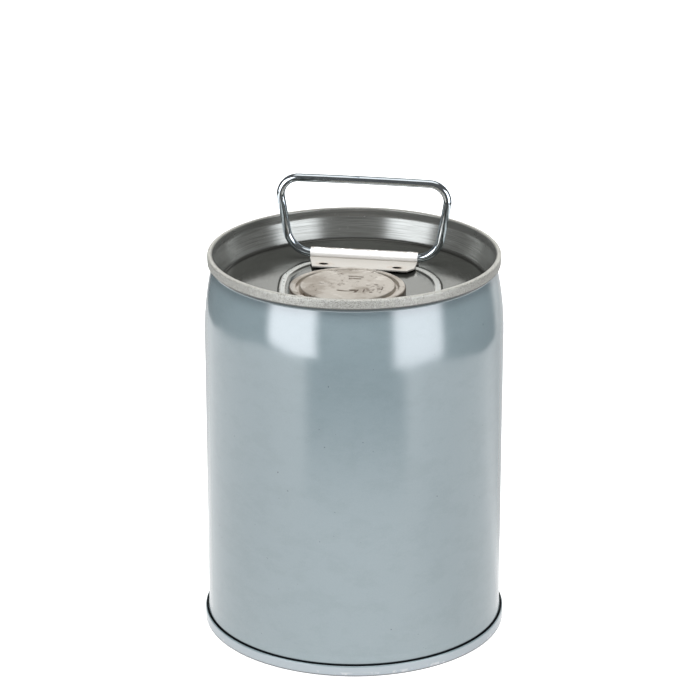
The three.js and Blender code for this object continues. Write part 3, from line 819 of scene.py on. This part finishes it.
def lid_lacquer():
    f = Finish("grey_lacquer", IOR=1.8)
    spun, radius, height = f.round_the_axis(3.2, 1900)
    streak = f.noise(1, 3, 0.6, spun)
    patches = f.noise(1, 4, 0.6, f.round_the_axis(9, 620)[0])
    scuff = f.spread(f.noise(1, 4, 0.7, f.round_the_axis(26, 2400)[0]), 0.40, 0.66)
    fine = f.noise(1500, 3, 0.7)
    nick = f.times(f.spread(f.noise(420, 4, 0.7), 0.66, 0.71), f.spread(f.noise(28, 2), 0.5, 0.6))
    chime = f.times(f.band(height, RIM_Z - 6.6, RIM_Z - 6.3), f.band(radius, 84.7, 85.1))
    on_wall = f.times(f.band(radius, 79.0, 80.5), f.math("SUBTRACT", 1.0, chime))
    upper_band = f.times(on_wall, f.band(height, RIM_Z - 6.6, RIM_Z - 5.2))
    # Painted highlight: the crest of the bead round the closure is made pale
    bead = f.times(f.band(height, LID_Z + 0.6, LID_Z + 1.0), f.band(radius, 79.0, 78.0))
    # Painted shade in the corner where the panel meets the chuck wall
    wall_foot_shade = f.times(f.band(height, LID_Z + 2.4, LID_Z + 0.6), f.band(radius, 77.6, 78.6))
    # Painted shade: a dark line under the chime's outer edge, where it meets the body
    lip = f.times(f.band(height, RIM_Z - 4.9, RIM_Z - 5.5), f.band(radius, 86.6, 87.0))
    # Painted shade: a dark line along the chime's inner top edge
    chime_inner_shade = f.times(f.band(f.off(radius, 85.1), 0.6, 0.2), chime)
    panel = f.mix(f.noise(60, 4), (0.190, 0.194, 0.178), (0.234, 0.239, 0.221))
    # Painted highlight along the bead's crest
    panel = f.over(panel, (bead, 0.8, (0.52, 0.525, 0.50)))
    wall = f.mix(f.spread(streak, 0.3, 0.7), (0.148, 0.151, 0.138), (0.262, 0.268, 0.256))
    wall = f.over(wall, (upper_band, 0.5, (0.24, 0.24, 0.225)))
    rim = f.mix(f.spread(fine, 0.40, 0.60), (0.175, 0.172, 0.152), (0.40, 0.398, 0.368))
    rim = f.over(rim, (scuff, 0.35, (0.47, 0.465, 0.435)))
    colour = f.over(f.mix(on_wall, panel, wall), (wall_foot_shade, 0.8, (0.045, 0.044, 0.040)))
    # Both painted shade lines of the chime darken its colour
    dark = f.math("MAXIMUM", f.times(lip, 0.9), f.times(chime_inner_shade, 0.6))
    colour = f.over(
        f.mix(chime, colour, rim), (dark, 1, (0.05, 0.048, 0.044)), (nick, 1, (0.05, 0.048, 0.042))
    )
    f.feed("Base Color", colour)
    f.feed("Metallic", f.total(0.93, (on_wall, -0.28), (bead, -0.35), (chime, -0.55)))
    smooth = f.spread(patches, 0.35, 0.7, 0.11, 0.17)
    f.feed("Roughness", f.total(smooth, (on_wall, 0.06), (bead, 0.16), (chime, 0.34), (nick, 0.3)))
    f.bump(
        (f.times(streak, on_wall), 4), (patches, 3), (f.noise(240, 3), 5),
        (f.times(fine, chime), 16), (f.times(scuff, chime), 6), (nick, -30),
    )
    return f.material


def cap_tinplate():
    f = Finish("warm_tinplate", Metallic=0.85)
    spun, radius, height = f.round_the_axis(2.6, 1500, CLOSURE[:2])
    streak = f.noise(1, 3, 0.6, spun)
    blotch = f.spread(f.noise(60, 5, 0.65), 0.46, 0.62)
    pale = f.spread(f.noise(95, 4, 0.6), 0.55, 0.68)
    scratch = f.spread(f.noise(1, 2, 0.5, f.stretched(240, 2600, 900)), 0.66, 0.74)
    rust_spot = ((CLOSURE[0] + 16) * MM, (CLOSURE[1] - 4) * MM, CAP_HIGH.z * MM)
    away = f.add("ShaderNodeVectorMath", {0: f.place, 1: rust_spot}, operation="DISTANCE").outputs["Value"]
    rust = f.times(f.band(away, 8.5, 4.0), f.spread(f.noise(380, 4, 0.7), 0.48, 0.60))
    stain = f.times(f.spread(f.noise(230, 5, 0.75), 0.54, 0.66), f.spread(f.noise(48, 2), 0.42, 0.58))
    stain = f.math("MAXIMUM", stain, f.times(rust, 0.7))
    edge = f.times(f.band(radius, 34.2, 34.6), f.spread(f.noise(160, 4, 0.6), 0.40, 0.60))
    # Painted shade in the pressed marks on the disc, broken up by noise
    pressed = f.times(f.band(height, CAP_HIGH.z - 0.14, CAP_HIGH.z - 0.22), f.band(radius, 27.0, 26.2))
    pressed = f.times(pressed, f.spread(f.noise(260, 3, 0.6), 0.36, 0.54, 0.25, 0.80))
    y = f.add("ShaderNodeSeparateXYZ", {0: f.place}).outputs[1]
    ahead = f.spread(y, (CLOSURE[1] - 4) * MM, (CLOSURE[1] - 20) * MM, 0.12, 0.85)
    # Painted shade in the groove round the disc, darker towards the front
    sunk_groove_shade = f.times(f.band(f.off(radius, 29.4), 1.6, 0.4), ahead)
    # Painted shade on the side of the skirt, below the ring
    skirt = f.times(f.band(height, CAP_HIGH.z - 0.5, CAP_HIGH.z - 1.2), f.band(radius, 33.5, 34.0))
    base = f.over(
        f.mix(streak, (0.47, 0.430, 0.370), (0.55, 0.510, 0.450)),
        (blotch, 0.5, (0.40, 0.34, 0.275)),
        (pale, 0.5, (0.72, 0.68, 0.62)),
        (stain, 0.85, (0.15, 0.11, 0.08)),
        (scratch, 0.5, (0.82, 0.79, 0.74)),
        (pressed, 1, (0.11, 0.080, 0.056)),
        (sunk_groove_shade, 1, (0.26, 0.20, 0.15)),
        (skirt, 0.75, (0.13, 0.09, 0.06)),
        (edge, 0.8, (0.10, 0.07, 0.05)),
    )
    f.feed("Base Color", base)
    satin = f.spread(blotch, 0, 1, 0.30, 0.44)
    f.feed("Roughness", f.total(satin, (f.math("MAXIMUM", stain, pressed), 0.25)))
    f.bump((streak, 5), (f.noise(900, 3), 4), (scratch, -6), (stain, -8))
    return f.material


def strap_tinplate():
    f = Finish("bright_tinplate", IOR=2.2)
    x, y, z = f.add("ShaderNodeSeparateXYZ", {0: f.place}).outputs
    cloud = f.noise(150, 4, 0.6)
    behind = f.band(y, HINGE.y - 1.8, HINGE.y - 0.5)
    stain = f.times(f.spread(f.noise(430, 4, 0.7), 0.38, 0.54), behind)
    aside = f.times(f.math("SUBTRACT", f.off(x, HINGE.x), DIMPLE_X * MM), 0.62)
    ahead = f.math("SUBTRACT", y, (HINGE.y - DIMPLE_BEFORE_HINGE) * MM)
    away = f.math("SQRT", f.math("ADD", f.times(aside, aside), f.times(ahead, ahead)))
    # Painted shade: the weld dimples are made nearly black
    dimple_shade = f.band(away, 2.1, 1.4)
    halo = f.times(f.band(away, 5.2, 1.8), f.spread(f.noise(520, 4, 0.7), 0.42, 0.62))
    base = f.over(
        f.mix(cloud, (0.95, 0.945, 0.93), (0.985, 0.98, 0.97)),
        # Painted shade: the lower side of the barrel and the whole flange are made darker than the top of
        # the barrel
        (f.band(z, HINGE.z - 0.6, HINGE.z - 1.2), 0.94, (0.31, 0.295, 0.265)),
        # Painted shadow: a dark line in the crease where the barrel meets the flange
        (f.band(f.off(y, HINGE.y - 3.7), 0.6, 0.1), 0.5, (0.30, 0.27, 0.23)),
        (stain, 0.85, (0.13, 0.10, 0.07)),
        (halo, 0.7, (0.26, 0.19, 0.13)),
        (dimple_shade, 1, (0.018, 0.014, 0.012)),
    )
    f.feed("Base Color", base)
    f.feed("Metallic", f.total(0.20, (dimple_shade, 0.80)))
    f.feed("Roughness", f.total(f.spread(cloud, 0.3, 0.75, 0.46, 0.56), (dimple_shade, 0.4)))
    f.bump((f.noise(1, 3, 0.6, f.stretched(60, 2200, 2200)), 4), (f.noise(700, 3), 5))
    return f.material


def zinc_wire():
    f = Finish("bright_zinc", Metallic=1.0, Specular_Tint=(0.34, 0.42, 0.48, 1))
    drawn = f.noise(1, 3, 0.6, f.stretched(70, 1500, 70))
    cloud = f.noise(90, 4, 0.6)
    fleck = f.spread(f.noise(420, 4, 0.7, f.stretched(0.35, 1, 0.35)), 0.56, 0.66)
    base = f.mix(cloud, (0.56, 0.63, 0.68), (0.80, 0.85, 0.88))
    f.feed("Base Color", f.over(base, (fleck, 0.5, (0.16, 0.22, 0.28))))
    f.feed("Roughness", f.spread(cloud, 0.3, 0.75, 0.05, 0.11))
    f.bump((drawn, 3), (f.noise(260, 3), 6))
    return f.material


def bung_steel():
    f = Finish("dull_zinc_plate", Metallic=0.95)
    spun, _, _ = f.round_the_axis(3, 1300, CLOSURE[:2])
    turned = f.noise(1, 3, 0.6, spun)
    cloud = f.noise(130, 5, 0.65)
    base = f.mix(cloud, (0.42, 0.43, 0.43), (0.60, 0.61, 0.60))
    f.feed("Base Color", base)
    f.feed("Roughness", f.spread(cloud, 0.3, 0.7, 0.30, 0.48))
    f.bump((turned, 6), (f.noise(1100, 2), 5))
    return f.material


def soft_rubber(name, dark, light, scale):
    f = Finish(name)
    cloud = f.noise(scale, 4, 0.6)
    f.feed("Base Color", f.mix(cloud, dark, light))
    f.feed("Roughness", f.spread(cloud, 0.3, 0.7, 0.6, 0.8))
    f.bump((f.noise(scale * 6, 3), 20))
    return f.material


def floor_white():
    f = Finish("studio_paper", Roughness=0.9)
    cloud = f.noise(6, 3)
    f.feed("Base Color", f.mix(cloud, (0.86, 0.86, 0.86), (0.88, 0.88, 0.88)))
    f.shader.inputs["Emission Color"].default_value = (1, 1, 1, 1)
    f.shader.inputs["Emission Strength"].default_value = 0.45
    return f.material


def table_glow():
    """The lit table as the enamel mirrors it: it fades towards the unlit camera side."""
    f = Finish("table_glow", Roughness=1.0)
    f.shader.inputs["Base Color"].default_value = (0, 0, 0, 1)
    f.shader.inputs["Specular IOR Level"].default_value = 0
    f.shader.inputs["Emission Color"].default_value = (1, 1, 1, 1)
    radius = f.add("ShaderNodeVectorMath", {0: f.place}, operation="LENGTH").outputs["Value"]
    unit = f.add("ShaderNodeVectorMath", {0: f.place}, operation="NORMALIZE").outputs[0]
    facing = {0: unit, 1: tuple(direction(11))}
    ahead = f.add("ShaderNodeVectorMath", facing, operation="DOT_PRODUCT").outputs["Value"]
    aside, back, _ = f.add("ShaderNodeSeparateXYZ", {0: unit}).outputs
    centre = f.times(f.spread(ahead, 0.76, 0.88), f.spread(radius, 0.28, 0.60))
    right, left = f.spread(aside, 0.68, 0.97), f.spread(aside, -0.60, -0.95)
    behind = f.spread(back, 0.55, 0.85)
    lit = f.total(1.45, (centre, -1.27), (right, -0.24), (left, -0.15), (behind, -0.65))
    f.feed("Emission Strength", lit)
    return f.material


# ---------------- pieces

PAINT = body_paint()
LACQUER = lid_lacquer()
CAP_TIN = cap_tinplate()
STRAP_TIN = strap_tinplate()
ZINC = zinc_wire()
BUNG = bung_steel()
RUBBER = soft_rubber("black_rubber", (0.012, 0.012, 0.012), (0.030, 0.030, 0.030), 160)
GUM = soft_rubber("seam_gum", (0.20, 0.18, 0.15), (0.32, 0.29, 0.25), 220)


def place(piece, material, body, slot, node):
    piece.data.materials.append(material)
    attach(piece, body)
    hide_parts(node)


place(build_body(), PAINT, "can", "body_paint", "body_shell")
place(build_base(), PAINT, "can", "body_paint", "bottom_end")
place(build_lid(), LACQUER, "can", "lacquered_end", "top_end")
place(build_flange(), BUNG, "can", "bung_steel", "bung_flange")
place(build_ring("flange_seal", "flange_gasket", 0.15), RUBBER, "can", "gasket_rubber", "flange_gasket")
place(build_plug(), BUNG, "plug", "bung_steel", "plug")
place(build_ring("plug_seal", "plug_gasket", 0.3), RUBBER, "gasket", "gasket_rubber", "plug_gasket")
place(build_cap(), CAP_TIN, "cap", "cap_tinplate", "cap_seal")
place(build_strap(), STRAP_TIN, "can", "strap_tinplate", "handle_strap")
place(build_bail(), ZINC, "bail", "zinc_wire", "bail_handle")

for node in ("top_seam_compound", "bottom_seam_compound"):
    mesh = frame["nodes"][node].data
    mesh.materials.clear()
    mesh.materials.append(GUM)


# ---------------- studio


def direction(azimuth, elevation=0.0):
    """Unit vector at an azimuth from -Y towards +X, and an elevation, in degrees."""
    a, e = math.radians(azimuth), math.radians(elevation)
    return Vector((math.sin(a) * math.cos(e), -math.cos(a) * math.cos(e), math.sin(e)))


def add_sheet(name, outline, z, material):
    """Flat polygon from points in metres."""
    mesh = bpy.data.meshes.new(name)
    mesh.from_pydata([(x, y, 0) for x, y in outline], [], [tuple(range(len(outline)))])
    sheet = bpy.data.objects.new(name, mesh)
    sheet.location.z = z
    mesh.materials.append(material)
    bpy.context.scene.collection.objects.link(sheet)
    return sheet


# Softboxes: azimuth of both sides, elevation of the lower edge at each side and of the upper edge, radiance
SOFTBOXES = [
    {"sides": (-58, -19), "lower": (-10.0, -15.0), "upper": 25, "radiance": 4.7},
    {"sides": (40, 80), "lower": (-17.0, -15.0), "upper": 25, "radiance": 4.2},
]
SOFT_SIDE, SOFT_END = 5.0, 2.6  # half widths of their soft edges, in degrees
UNLIT = 0.10  # share of the surround's light that the dark studio keeps


def build_world():
    """A dark studio, pale only straight behind the can and high overhead, and two soft-edged softboxes."""
    world = bpy.data.worlds.new("studio")
    world.use_nodes = True
    bpy.context.scene.world = world
    nodes, links = world.node_tree.nodes, world.node_tree.links
    back = nodes["Background"]

    def feed(node, key, value):
        if isinstance(value, bpy.types.NodeSocket):
            links.new(value, node.inputs[key])
        else:
            node.inputs[key].default_value = value

    def calc(operation, *values):
        node = nodes.new("ShaderNodeMath")
        node.operation = operation
        for key, value in enumerate(values):
            feed(node, key, value)
        return node.outputs[0]

    def ranged(value, low, high, to_low=0.0, to_high=1.0):
        node = nodes.new("ShaderNodeMapRange")
        node.interpolation_type = "SMOOTHSTEP"
        for key, limit in (("From Min", low), ("From Max", high), ("To Min", to_low), ("To Max", to_high)):
            feed(node, key, limit)
        feed(node, "Value", value)
        return node.outputs["Result"]

    parts = nodes.new("ShaderNodeSeparateXYZ")
    links.new(nodes.new("ShaderNodeTexCoord").outputs["Generated"], parts.inputs[0])
    x, y, z = parts.outputs
    azimuth = calc("MULTIPLY", calc("ARCTAN2", x, calc("MULTIPLY", y, -1.0)), 180 / math.pi)
    elevation = calc("MULTIPLY", calc("ARCSINE", z), 180 / math.pi)
    front = ranged(calc("MULTIPLY_ADD", x, 0.06, y), 0.91, 0.76)
    low = ranged(z, 0.95, 0.85)
    studio = ranged(calc("MULTIPLY", front, low), 0, 1, 1, UNLIT)
    strength = calc("MULTIPLY", ranged(z, 0.80, 0.94, 1.07, 1.25), studio)
    lit = 0.0
    for box in SOFTBOXES:
        (left, right), (at_left, at_right) = box["sides"], box["lower"]
        from_left = ranged(azimuth, left - SOFT_SIDE, left + SOFT_SIDE)
        share = calc("MULTIPLY", from_left, ranged(azimuth, right + SOFT_SIDE, right - SOFT_SIDE))
        slope = (at_right - at_left) / (right - left)
        rise = calc("SUBTRACT", elevation, calc("MULTIPLY", calc("SUBTRACT", azimuth, left), slope))
        share = calc("MULTIPLY", share, ranged(rise, at_left - SOFT_END, at_left + SOFT_END))
        upper = box["upper"]
        share = calc("MULTIPLY", share, ranged(elevation, upper + SOFT_SIDE, upper - SOFT_SIDE))
        lit = calc("ADD", lit, calc("MULTIPLY", share, box["radiance"]))
    hue = nodes.new("ShaderNodeMix")
    hue.data_type = "RGBA"
    feed(hue, 0, ranged(lit, 0, 1))
    feed(hue, 6, (1, 1, 1, 1))
    feed(hue, 7, (0.965, 0.992, 1.045, 1))
    links.new(hue.outputs[2], back.inputs["Color"])
    links.new(calc("ADD", strength, lit), back.inputs["Strength"])


def build_top_light():
    """Soft overhead light. The metal doesn't mirror it, so it only lifts what scatters light."""
    size, height, radiance = 1.6, 2.3, 14.5
    light = bpy.data.lights.new("top_light", "AREA")
    light.shape = "SQUARE"
    light.size = size
    light.energy = radiance * math.pi * size * size
    lamp = bpy.data.objects.new("top_light", light)
    lamp.location = (0.05, -0.35, height)
    lamp.visible_camera = lamp.visible_glossy = False
    bpy.context.scene.collection.objects.link(lamp)


def build_dome():
    """Pale surround that only the camera sees."""
    material = bpy.data.materials.new("pale_surround")
    material.use_nodes = True
    tree = material.node_tree
    glow = tree.nodes.new("ShaderNodeEmission")
    glow.inputs["Strength"].default_value = 1.1
    tree.links.new(glow.outputs[0], tree.nodes["Material Output"].inputs["Surface"])
    bm = bmesh.new()
    bmesh.ops.create_uvsphere(bm, u_segments=48, v_segments=24, radius=14)
    mesh = bpy.data.meshes.new("surround")
    bm.to_mesh(mesh)
    bm.free()
    dome = bpy.data.objects.new("surround", mesh)
    mesh.materials.append(material)
    bpy.context.scene.collection.objects.link(dome)
    dome.visible_diffuse = dome.visible_glossy = dome.visible_transmission = False
    dome.visible_shadow = dome.visible_volume_scatter = False


# Reach of the lit table by azimuth, in metres: it ends at its edges and runs on behind the can
TABLE_EDGE = [
    (-180, 2.6), (-162, 2.6), (-148, 0.74), (-106, 0.78), (-76, 0.92), (-62, 1.04), (-20, 1.08), (28, 0.84),
    (40, 0.76), (80, 0.72), (100, 0.66), (120, 0.60), (146, 0.66), (160, 2.6),
]


def build_floor():
    """The paper that the camera sees, and the lit table that only the object mirrors."""
    far = 24
    paper = add_sheet("floor", [(-far, -far), (far, -far), (far, far), (-far, far)], -0.0002, floor_white())
    paper.visible_diffuse = paper.visible_glossy = paper.visible_shadow = False
    outline = [tuple(direction(azimuth) * reach)[:2] for azimuth, reach in TABLE_EDGE]
    table = add_sheet("table", outline, -0.0004, table_glow())
    table.visible_camera = False


def build_camera():
    camera = bpy.data.cameras.new("camera")
    camera.lens = 153.0
    camera.sensor_width = 36
    camera.shift_x = -0.006
    camera.clip_end = 60
    eye = bpy.data.objects.new("camera", camera)
    distance, azimuth, height, pitch = 1.6828, 9.7, 0.8012, 20.468
    eye.location = direction(azimuth) * distance + Vector((0, 0, height))
    eye.rotation_euler = (math.radians(90 - pitch), 0, math.radians(azimuth))
    bpy.context.scene.collection.objects.link(eye)
    bpy.context.scene.camera = eye


build_camera()
build_world()
build_dome()
build_floor()
build_top_light()

view = bpy.context.scene.view_settings
view.view_transform = "Standard"
view.look = "None"
view.exposure = 0.0
view.gamma = 1.0
